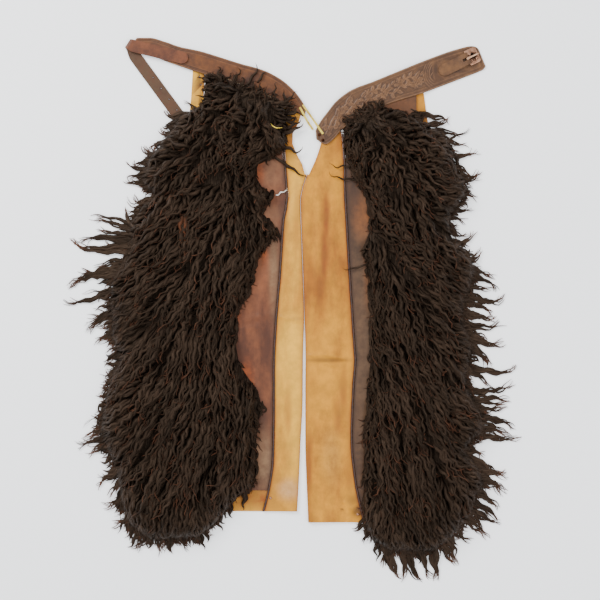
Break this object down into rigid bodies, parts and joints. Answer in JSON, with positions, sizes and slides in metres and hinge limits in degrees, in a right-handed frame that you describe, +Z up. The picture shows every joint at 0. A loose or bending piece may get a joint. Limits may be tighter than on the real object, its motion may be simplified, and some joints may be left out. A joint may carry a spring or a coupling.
{
  "type": "woolly leather chaps laid flat",
  "caption": "Long-haired fleece chaps with tan leather legs, a two-part shaped belt, billet strap and buckle, laid flat front side up.",
  "frame": {"origin": "on the surface that the chaps lie on, under the middle of their outline", "axes": "+X to the right of the laid-out front, +Y from the hems towards the belt, +Z up out of the surface"},
  "size_m": [0.955, 1.1472, 0.0444],
  "materials": {
    "tan_leather": "smooth golden tan leather, worn along its edges",
    "brown_hide": "reddish brown hide, worn bald in patches",
    "piping": "dark rolled leather welt",
    "wool": "long curly near-black brown locks",
    "belt_leather": "oiled brown saddle leather, the right half tooled",
    "lace": "pale yellow lace",
    "bronze": "dull bronze"
  },
  "bodies": {
    "garment": {"leg_left": "tan_leather", "leg_right": "tan_leather", "hide_left": "brown_hide", "hide_right": "brown_hide", "welt_left": "piping", "welt_right": "piping", "fleece_left": "wool", "fleece_right": "wool", "locks_left": "wool", "locks_right": "wool", "belt_left": "belt_leather", "belt_right": "belt_leather", "billet_strap": "belt_leather", "chape": "belt_leather", "thong_upper": "lace", "thong_lower": "lace", "rivet_nose_upper": "bronze", "rivet_nose_lower": "bronze", "rivet_hem_left": "bronze", "rivet_hem_right": "bronze"},
    "frame": {"buckle_frame": "bronze"},
    "tongue": {"buckle_tongue": "bronze"}
  },
  "joints": [
    {"name": "frame_hinge", "type": "hinge", "parent": "garment", "child": "frame", "pos_m": [0.37172, 0.52961, 0.0081], "axis": [0.4384, -0.8988, 0], "range_deg": [0, 75]},
    {"name": "tongue_hinge", "type": "hinge", "parent": "frame", "child": "tongue", "pos_m": [0.37172, 0.52961, 0.0081], "axis": [0.4384, -0.8988, 0], "range_deg": [0, 75]}
  ]
}
